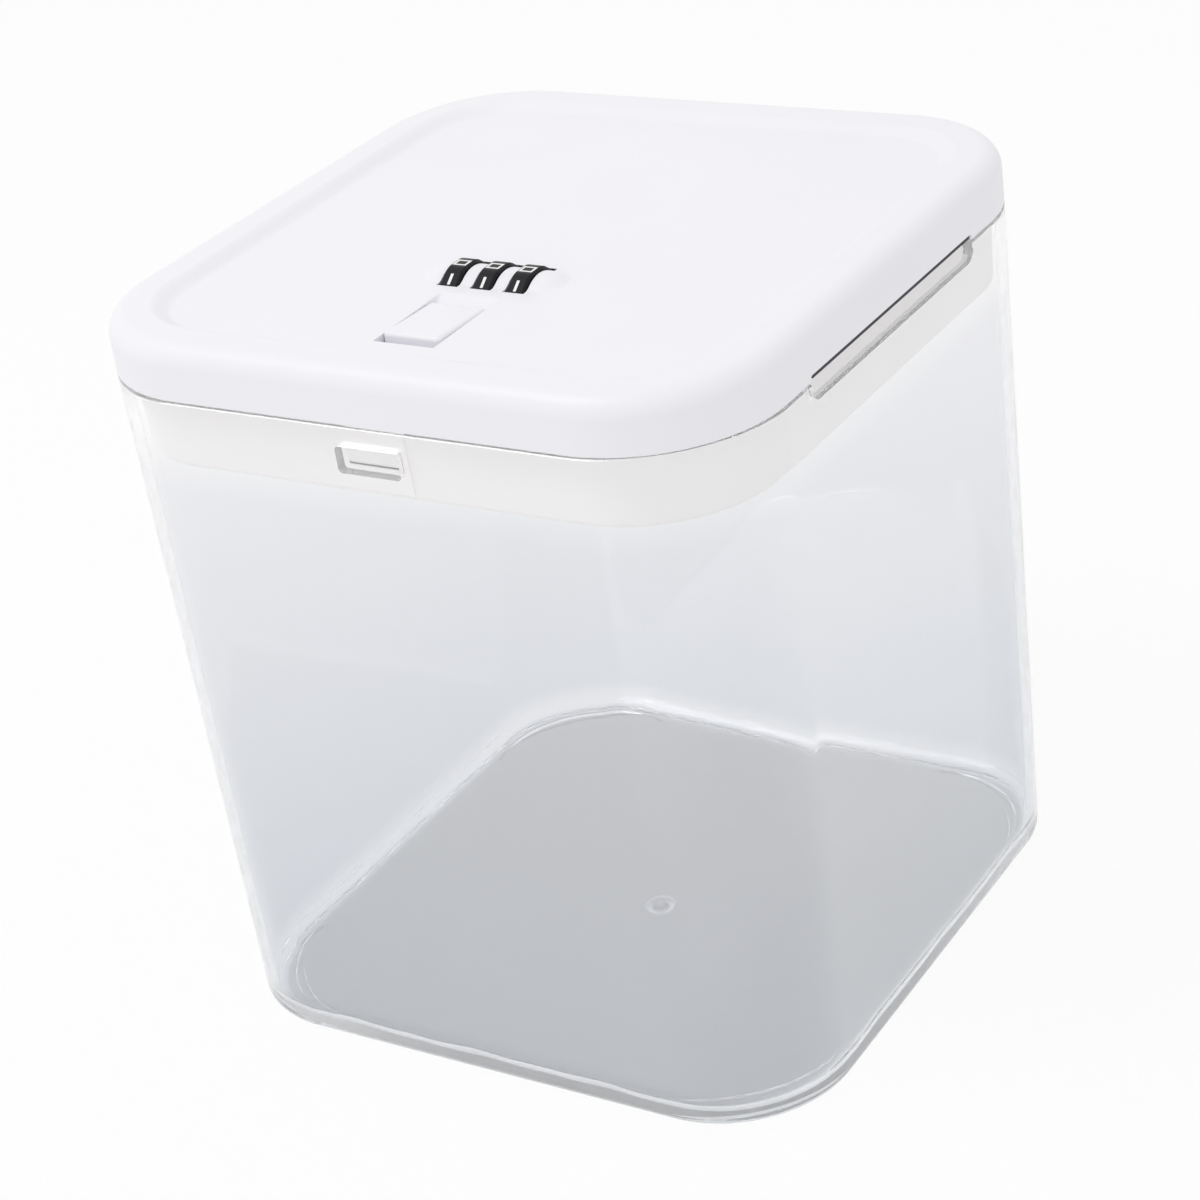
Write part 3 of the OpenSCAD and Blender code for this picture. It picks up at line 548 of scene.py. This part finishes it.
# Reset spring: wire wound on a mandrel, between the button's flange and the frame's floor.
coil_low, coil_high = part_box("reset_spring")
wire_r = 0.3 * mm
wire_steps = 12
coil_r = (coil_high.x - coil_low.x) / 2 - wire_r
coil_y = (coil_low.y + coil_high.y) / 2
coil_turns = 5
turn_steps = 36
wire = arc(0, 0, wire_r, 0, 360 - 360 / wire_steps, wire_steps - 1)
rings = []
for i in range(coil_turns * turn_steps + 1):
    a = 2 * math.pi * i / turn_steps
    t = i / (coil_turns * turn_steps)
    ring_z = coil_low.z + wire_r + (coil_high.z - coil_low.z - 2 * wire_r) * t
    rings.append([
        ((coil_r + x) * math.cos(a), coil_y + (coil_r + x) * math.sin(a), ring_z + z)
        for x, z in wire
    ])
bm = bmesh.new()
skin(bm, rings)
coil = make_piece("reset_coil", bm)
smooth(coil)
coil.data.materials.append(spring_steel)
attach(coil, "lid")
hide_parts("reset_spring")
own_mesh(coil)

# Lid shell: one white ABS moulding with a raised soft border, a sunk panel, a rounded housing
# for the dials and a track for the slider, its ramp running out into the panel.
lid_low_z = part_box("lid_shell")[0].z
lid_top_z = 187.0 * mm
lid_wall = 2.4 * mm
lid_round = 5.0 * mm
edge_round = 0.35 * mm
border_r = corner_r - 10 * mm
crease_r = border_r - 5 * mm
slope_steps = 16
panel_z = lid_top_z - 2.2 * mm
panel_t = 2.2 * mm
border_under = lid_top_z - panel_t - 0.4 * mm
inner_slope = 2.5 * mm
inner_wall_top = lid_top_z - panel_t - 2.9 * mm
dial_y, dial_z = -27.6 * mm, 178.2 * mm
hump_r = 8.6 * mm
hump_half = 12.5 * mm
hump_soft = 0.9 * mm
track_half = 7.9 * mm
track_front, track_rear = -65.6 * mm, -42.9 * mm
ramp_len = 4.8 * mm
ramp_drop = 2.05 * mm
ramp_side = 0.7 * mm
ramp_lead, ramp_start = 1.8 * mm, 1 * mm
patch_x = 27 * mm
patch_front, patch_rear = -45.2 * mm, -14 * mm
patch_step = 0.3 * mm


def ease(t):
    """0 to 1 with soft ends."""
    t = min(max(t, 0), 1)
    return t * t * (3 - 2 * t)


def panel_height(x, y):
    """Height of the panel round the lock: the housing's hump and the ramp behind the slider."""
    out = math.hypot(max(abs(x) - hump_half, 0), y - dial_y)
    if out < hump_r:
        rise = dial_z - panel_z + math.sqrt(hump_r**2 - out**2)
    else:
        rise = dial_z - panel_z - 2 * (out - hump_r)
    blend = max(hump_soft - abs(rise), 0) / hump_soft
    hump = max(rise, 0) + blend**2 * hump_soft / 4
    down = ease((track_rear + ramp_len - y) / ramp_len)
    down *= 1 - ease((abs(x) - track_half + ramp_side / 2) / ramp_side)
    down *= ease((y - track_rear + ramp_lead) / ramp_start)
    return panel_z + hump - ramp_drop * down


lid_profile = [
    (crease_r, panel_z - panel_t),
    (border_r, border_under),
    (corner_r - lid_wall - inner_slope, border_under),
    (corner_r - lid_wall, inner_wall_top),
    (corner_r - lid_wall, lid_low_z),
]
lid_profile += arc(corner_r - edge_round, lid_low_z + edge_round, edge_round, -90, 0, 4)
lid_profile += arc(corner_r - lid_round, lid_top_z - lid_round, lid_round, 0, 90, 14)
for i in range(slope_steps + 1):
    t = i / slope_steps
    slope_r = border_r + (crease_r - border_r) * t
    lid_profile.append((slope_r, lid_top_z - (lid_top_z - panel_z) * ease(t)))
bm = bmesh.new()
rows = skin(bm, [level_line(r, z, 32) for r, z in lid_profile])
crease = rows[-1]
top_cap = [f for f in crease[0].link_faces if len(f.verts) > 4][0]
bmesh.ops.delete(bm, geom=[top_cap], context="FACES_ONLY")
columns = round(2 * patch_x / patch_step)
lines = round((patch_rear - patch_front) / patch_step)
xs = [-patch_x + 2 * patch_x * i / columns for i in range(columns + 1)]
grid = []
for j in range(lines + 1):
    y = patch_front + (patch_rear - patch_front) * j / lines
    grid.append([bm.verts.new((x, y, panel_height(x, y))) for x in xs])
for j in range(lines):
    for i in range(columns):
        bm.faces.new((grid[j][i], grid[j][i + 1], grid[j + 1][i + 1], grid[j + 1][i]))
bmesh.ops.triangle_fill(bm, edges=[e for e in bm.edges if e.is_boundary], use_beauty=True)
lid = make_piece("lid_cover", bm)

# Under the panel a pocket carries the track. A slot in the track's floor lets the stem through.
pocket_wall = 1.6 * mm
pocket_low_z = 179.8 * mm
pocket_top_z = panel_z - panel_t + 0.03 * mm
track_floor_z = 181.4 * mm
track_soft = 0.4 * mm
over_lid_z = 195 * mm
stem_slot_half, stem_slot_soft = 3.8 * mm, 0.3 * mm
stem_slot_front, stem_slot_rear = -61.9 * mm, -46.7 * mm
stem_slot_low, stem_slot_high = 178 * mm, 182 * mm
pocket = rounded_block(
    "pocket_tool",
    (-track_half - pocket_wall, track_front - pocket_wall, pocket_low_z),
    (track_half + pocket_wall, track_rear + pocket_wall, pocket_top_z), 0,
)
shape_with(lid, pocket, "UNION")
track = rounded_block(
    "track_tool",
    (-track_half, track_front, track_floor_z),
    (track_half, track_rear, over_lid_z), track_soft,
)
shape_with(lid, track)
stem_slot = rounded_block(
    "stem_tool",
    (-stem_slot_half, stem_slot_front, stem_slot_low),
    (stem_slot_half, stem_slot_rear, stem_slot_high), stem_slot_soft, along=2,
)
shape_with(lid, stem_slot)


def drum(name, x0, x1, r, steps=96):
    """A plain cylinder on the dial axis, to cut room with."""
    turns = [2 * math.pi * i / steps for i in range(steps)]
    ends = [
        [(x, dial_y + r * math.cos(a), dial_z + r * math.sin(a)) for a in turns] for x in (x0, x1)
    ]
    bm = bmesh.new()
    skin(bm, ends)
    return make_piece(name, bm)


# Each dial has a slot of its own, and the code sleeves turn in one room underneath.
dial_w = 4.9 * mm
dial_pitch = 8.85 * mm
slot_half = dial_w / 2 + 0.35 * mm
slot_r = 9.85 * mm
sleeve_left, sleeve_right, sleeve_r = -11.65 * mm, 15.25 * mm, 6.55 * mm
for i in (-1, 0, 1):
    slot_x = i * dial_pitch
    shape_with(lid, drum("slot_tool", slot_x - slot_half, slot_x + slot_half, slot_r))
shape_with(lid, drum("sleeve_tool", sleeve_left, sleeve_right, sleeve_r))

# The lid's edge steps up over the finger gaps.
step_in = 80 * mm
step_low, step_high = lid_low_z - 5 * mm, lid_low_z + 1.6 * mm
step_r = 0.8 * mm
for side in (-1, 1):
    near, far = sorted((side * step_in, side * cut_out))
    finger_step = rounded_block(
        "step_tool", (near, -gap_half, step_low), (far, gap_half, step_high), step_r, along=0,
    )
    shape_with(lid, finger_step)
smooth(lid)
# Injection moulded white ABS, satin from a fine spark-eroded mould: soft wide highlights.
lid_abs = moulded_plastic("white_abs_spark_eroded", "#F5F4F8", "#F2F1F6", 0.42)
lid.data.materials.append(lid_abs)
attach(lid, "lid")
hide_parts("lid_shell")

# Shadow strips: a strip of dark grey under the lid's edge where each finger gap leaves it free,
# put in as painted shadow of the slit there. It shows as a dark line above the gap.
shadow_strip_h = 0.95 * mm
shadow_strip_half = gap_half - 0.9 * mm
shadow_strip_top = lid_low_z + 1.65 * mm
shadow_strip_inset = 0.05 * mm
shadow_strip_soft = 0.12 * mm
# A dull dark grey painted shadow, with hardly a highlight.
shadow_strip_grey = moulded_plastic("dark_grey_painted_shadow", "#37353C", "#403E45", 0.55, shine=0.3)
for side, side_name in ((-1, "left"), (1, "right")):
    near, far = sorted((side * (half_w - lid_wall), side * (half_w - shadow_strip_inset)))
    shadow_strip = rounded_block(
        "lid_shadow_strip_" + side_name,
        (near, -shadow_strip_half, shadow_strip_top - shadow_strip_h),
        (far, shadow_strip_half, shadow_strip_top), shadow_strip_soft,
    )
    smooth(shadow_strip)
    shadow_strip.data.materials.append(shadow_strip_grey)
    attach(shadow_strip, "lid")

# Number dials: three black moulded wheels with ten flats. The digits are printed in white, and
# the right-hand edge of each wheel is notched so that a finger tip can turn it.
dial_r = 9.5 * mm
flat_r = 9.25 * mm
flat_angle = 36
bore_r = 1.55 * mm
hub_r = 3.0 * mm
hub_len = 3.6 * mm
chamfer = 0.5 * mm
dial_points = 240
notch = 0.2 * mm
notch_lip = 0.04 * mm
notch_points = 4
digit_stroke = 0.54 * mm
digit_h = 2.85 * mm
digit_w = 3.5 * mm
one_w = 0.72 * mm
print_t = 0.03 * mm
print_sink = 0.005 * mm
digit_cells = {
    0: ("###", "#.#", "#.#", "#.#", "###"), 1: (".#.", ".#.", ".#.", ".#.", ".#."),
    2: ("###", "..#", "###", "#..", "###"), 3: ("###", "..#", "###", "..#", "###"),
    4: ("#.#", "#.#", "###", "..#", "..#"), 5: ("###", "#..", "###", "..#", "###"),
    6: ("###", "#..", "###", "#.#", "###"), 7: ("###", "..#", "..#", "..#", "..#"),
    8: ("###", "#.#", "###", "#.#", "###"), 9: ("###", "#.#", "###", "..#", "###"),
}


def dial_outline(drop, notched=0):
    """Radius round a dial at each of its points: ten flats, their corners turned off round."""
    radii = []
    for k in range(dial_points):
        off = (360 * k / dial_points + flat_angle / 2) % flat_angle - flat_angle / 2
        r = min(dial_r, flat_r / math.cos(math.radians(off)))
        radii.append(r - drop - (notched if k % notch_points < notch_points / 2 else 0))
    return radii


def make_digit(bm, digit, frame_at):
    """One printed digit as a thin closed plate made of the strokes' cells."""
    middle = one_w if digit == 1 else digit_w - 2 * digit_stroke
    widths = (digit_stroke, middle, digit_stroke)
    gap = (digit_h - 3 * digit_stroke) / 2
    heights = (digit_stroke, gap, digit_stroke, gap, digit_stroke)
    xs = [sum(widths[:i]) - sum(widths) / 2 for i in range(4)]
    ys = [digit_h / 2 - sum(heights[:i]) for i in range(6)]
    made = {}

    def corner(i, j, level):
        if (i, j, level) not in made:
            at = Vector((xs[i], ys[j], level * print_t))
            made[i, j, level] = bm.verts.new(frame_at @ at)
        return made[i, j, level]

    rows = enumerate(digit_cells[digit])
    inked = {(i, j) for j, row in rows for i, cell in enumerate(row) if cell == "#"}
    for i, j in inked:
        around = [(i, j), (i, j + 1), (i + 1, j + 1), (i + 1, j)]
        bm.faces.new([corner(*c, 1) for c in around])
        bm.faces.new([corner(*c, 0) for c in around[::-1]])
        for k, step in enumerate(((-1, 0), (0, 1), (1, 0), (0, -1))):
            if (i + step[0], j + step[1]) not in inked:
                a, b = around[k], around[(k + 1) % 4]
                bm.faces.new((corner(*a, 0), corner(*b, 0), corner(*b, 1), corner(*a, 1)))


# Black ABS with a low gloss from handling: dark grey edges, a cool sheen on the flats.
dial_abs = moulded_plastic("black_abs_moulded", "#0B0B10", "#101016", 0.4, grain=0.3, shine=0.2)
# Pad-printed white ink: matt and slightly uneven where it thins on the grain.
print_ink = moulded_plastic("white_pad_print_ink", "#FAFAF9", "#F2F2F0", 0.6, grain=0.12)
half = dial_w / 2
outlines = [
    (-half, [bore_r] * dial_points),
    (-half, dial_outline(chamfer)),
    (-half + chamfer, dial_outline(0)),
    (half - chamfer, dial_outline(0)),
    (half - chamfer, dial_outline(notch_lip)),
    (half, dial_outline(chamfer, notch)),
    (half, [hub_r] * dial_points),
    (half + hub_len, [hub_r] * dial_points),
    (half + hub_len, [bore_r] * dial_points),
]
dial_turns = [math.radians(360 * k / dial_points) for k in range(dial_points)]
for place_i, side_name in ((-1, "left"), (0, "middle"), (1, "right")):
    dial_x = place_i * dial_pitch
    lines = [
        [
            (dial_x + x, dial_y - r * math.sin(a), dial_z + r * math.cos(a))
            for r, a in zip(radii, dial_turns)
        ]
        for x, radii in outlines
    ]
    bm = bmesh.new()
    skin(bm, lines, join=True)
    dial = make_piece("dial_wheel_" + side_name, bm)
    smooth(dial, sharpest=12)
    dial.data.materials.append(dial_abs)
    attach(dial, "dial_" + side_name)
    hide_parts("dial_" + side_name)
    bm = bmesh.new()
    for digit in range(10):
        tilt = Matrix.Rotation(math.radians(flat_angle * digit), 4, "X")
        out = Matrix.Translation((0, 0, flat_r - print_sink))
        make_digit(bm, digit, Matrix.Translation((dial_x, dial_y, dial_z)) @ tilt @ out)
    digits = make_piece("dial_digits_" + side_name, bm)
    digits.data.materials.append(print_ink)
    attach(digits, "dial_" + side_name)

# Thumb slider: a white ABS moulding, a wedge that rises to the front so that a thumb can push
# it. Its stem goes through the slot in the lid's track and is screwed to the bolt.
slider_half = 7.5 * mm
slider_front, slider_rear = -62.6 * mm, -43.3 * mm
slider_under = 181.65 * mm
slider_lift = 0.9 * mm
slider_soft = 1.1 * mm
slider_side = 1 * mm
stem_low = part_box("thumb_slider")[0].z
stem_front, stem_rear, stem_half = -59 * mm, -47 * mm, 3.5 * mm
stem_top = slider_under + 0.5 * mm
stem_soft = 0.3 * mm
bm = bmesh.new()
bmesh.ops.create_cube(bm, size=1)
for v in bm.verts:
    front = v.co.y < 0
    v.co = Vector((
        slider_half if v.co.x > 0 else -slider_half,
        slider_front if front else slider_rear,
        (panel_z + (slider_lift if front else 0)) if v.co.z > 0 else slider_under,
    ))
upper = [e for e in bm.edges if max(v.co.z for v in e.verts) > slider_under + slider_side]
bmesh.ops.bevel(bm, geom=upper, offset=slider_soft, segments=6, profile=0.5, affect="EDGES")
slider = make_piece("slider_wedge", bm)
stem = rounded_block(
    "stem_tool",
    (-stem_half, stem_front, stem_low),
    (stem_half, stem_rear, stem_top), stem_soft, along=2,
)
shape_with(slider, stem, "UNION")
smooth(slider)
# The lid's white ABS from a smoother mould: a slightly tighter highlight.
slider_abs = moulded_plastic("white_abs_moulded_smooth", "#F5F4F8", "#F2F1F6", 0.36)
slider.data.materials.append(slider_abs)
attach(slider, "bolt")
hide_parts("thumb_slider")

# Studio: a pale table in soft daylight, with one wide lamp from the front left. The table and the
# sky look white to the camera, and the table keeps the box's shadow.
table_half = 3.0
table_drop = 0.1 * mm
table_lift = 0.85
bm = bmesh.new()
bmesh.ops.create_grid(bm, x_segments=1, y_segments=1, size=table_half)
table = make_piece("table", bm)
table.location.z = -table_drop
# White matt paint that the camera sees brighter than it lights the box.
white_table, tree = new_material("white_matt_table")
paint = add(tree, "BsdfDiffuse", {"Color": linear("#FBFBFB")})
glow = add(tree, "Emission", {"Color": linear("#FFFFFF"), "Strength": 1})
rays = add(tree, "LightPath").outputs
seen = add(tree, "Math", {0: rays["Is Camera Ray"], 1: rays["Is Glossy Ray"]}, operation="ADD")
seen = add(tree, "Math", {0: seen.outputs[0], 1: rays["Is Transmission Ray"]}, operation="ADD")
lift = add(tree, "Math", {
    0: seen.outputs[0], 1: table_lift,
}, operation="MULTIPLY", use_clamp=True)
mixed = add(tree, "MixShader", {0: lift.outputs[0], 1: paint.outputs[0], 2: glow.outputs[0]})
add(tree, "OutputMaterial", {"Surface": mixed.outputs[0]})
table.data.materials.append(white_table)

sky = bpy.data.worlds.new("studio")
bpy.context.scene.world = sky
sky.use_nodes = True
tree = sky.node_tree
tree.nodes.clear()
sky_level = 0.82
rays = add(tree, "LightPath").outputs
seen = add(tree, "Math", {0: rays["Is Camera Ray"], 1: rays["Is Glossy Ray"]}, operation="ADD")
seen = add(tree, "Math", {
    0: seen.outputs[0], 1: rays["Is Transmission Ray"],
}, operation="ADD", use_clamp=True)
level = add(tree, "MapRange", {"Value": seen.outputs[0], "To Min": sky_level, "To Max": 1})
light = add(tree, "Background", {"Color": linear("#FFFFFF"), "Strength": level.outputs[0]})
add(tree, "OutputWorld", {"Surface": light.outputs[0]})

key_place = Vector((-0.5, -0.55, 1.4))
key_aim = Vector((0, 0, 0.1))
key = bpy.data.lights.new("key", "AREA")
key.shape = "DISK"
key.size = 0.6
key.energy = 4
key_lamp = bpy.data.objects.new("key", key)
key_lamp.location = key_place
key_lamp.rotation_euler = (key_aim - key_place).to_track_quat("-Z", "Y").to_euler()
bpy.context.scene.collection.objects.link(key_lamp)

# A low strip light at the front left that only gives glints on the clear plastic: it adds real
# glints to the painted white highlight along the floor's fillet and the feet.
glint_place = Vector((-0.75, -1.3, 0.85))
glint = bpy.data.lights.new("strip", "AREA")
glint.shape = "RECTANGLE"
glint.size = 1.4
glint.size_y = 1.5
glint.energy = 45
glint_lamp = bpy.data.objects.new("strip", glint)
glint_lamp.location = glint_place
glint_lamp.rotation_euler = (-glint_place).to_track_quat("-Z", "Y").to_euler()
glint_lamp.visible_camera = False
glint_lamp.visible_diffuse = False
clear_pieces = bpy.data.collections.new("clear_pieces")
clear_pieces.objects.link(container)
glint_lamp.light_linking.receiver_collection = clear_pieces
bpy.context.scene.collection.objects.link(glint_lamp)

# Camera: as the photograph was taken, from the front right and above, with a slight roll. Its
# place, lens and shift come from a fit to the box's outlines.
turn, rise, roll = math.radians(34.52), math.radians(27.509), math.radians(-8.394)
away = 744.302 * mm
aim = Vector((0, 0, 90 * mm))
back = Vector((
    math.sin(turn) * math.cos(rise), -math.cos(turn) * math.cos(rise), math.sin(rise),
))
right = Vector((0, 0, 1)).cross(back).normalized()
up = back.cross(right)
right, up = (
    math.cos(roll) * right + math.sin(roll) * up,
    -math.sin(roll) * right + math.cos(roll) * up,
)
view = bpy.data.cameras.new("camera")
view.sensor_width = 36
view.lens = 90.84
view.shift_x = -0.0112
view.shift_y = -0.0078
camera = bpy.data.objects.new("camera", view)
turned = Matrix((right, up, back)).transposed().to_4x4()
camera.matrix_world = Matrix.Translation(aim + away * back) @ turned
bpy.context.scene.collection.objects.link(camera)
bpy.context.scene.camera = camera
bpy.context.scene.view_settings.view_transform = "Standard"
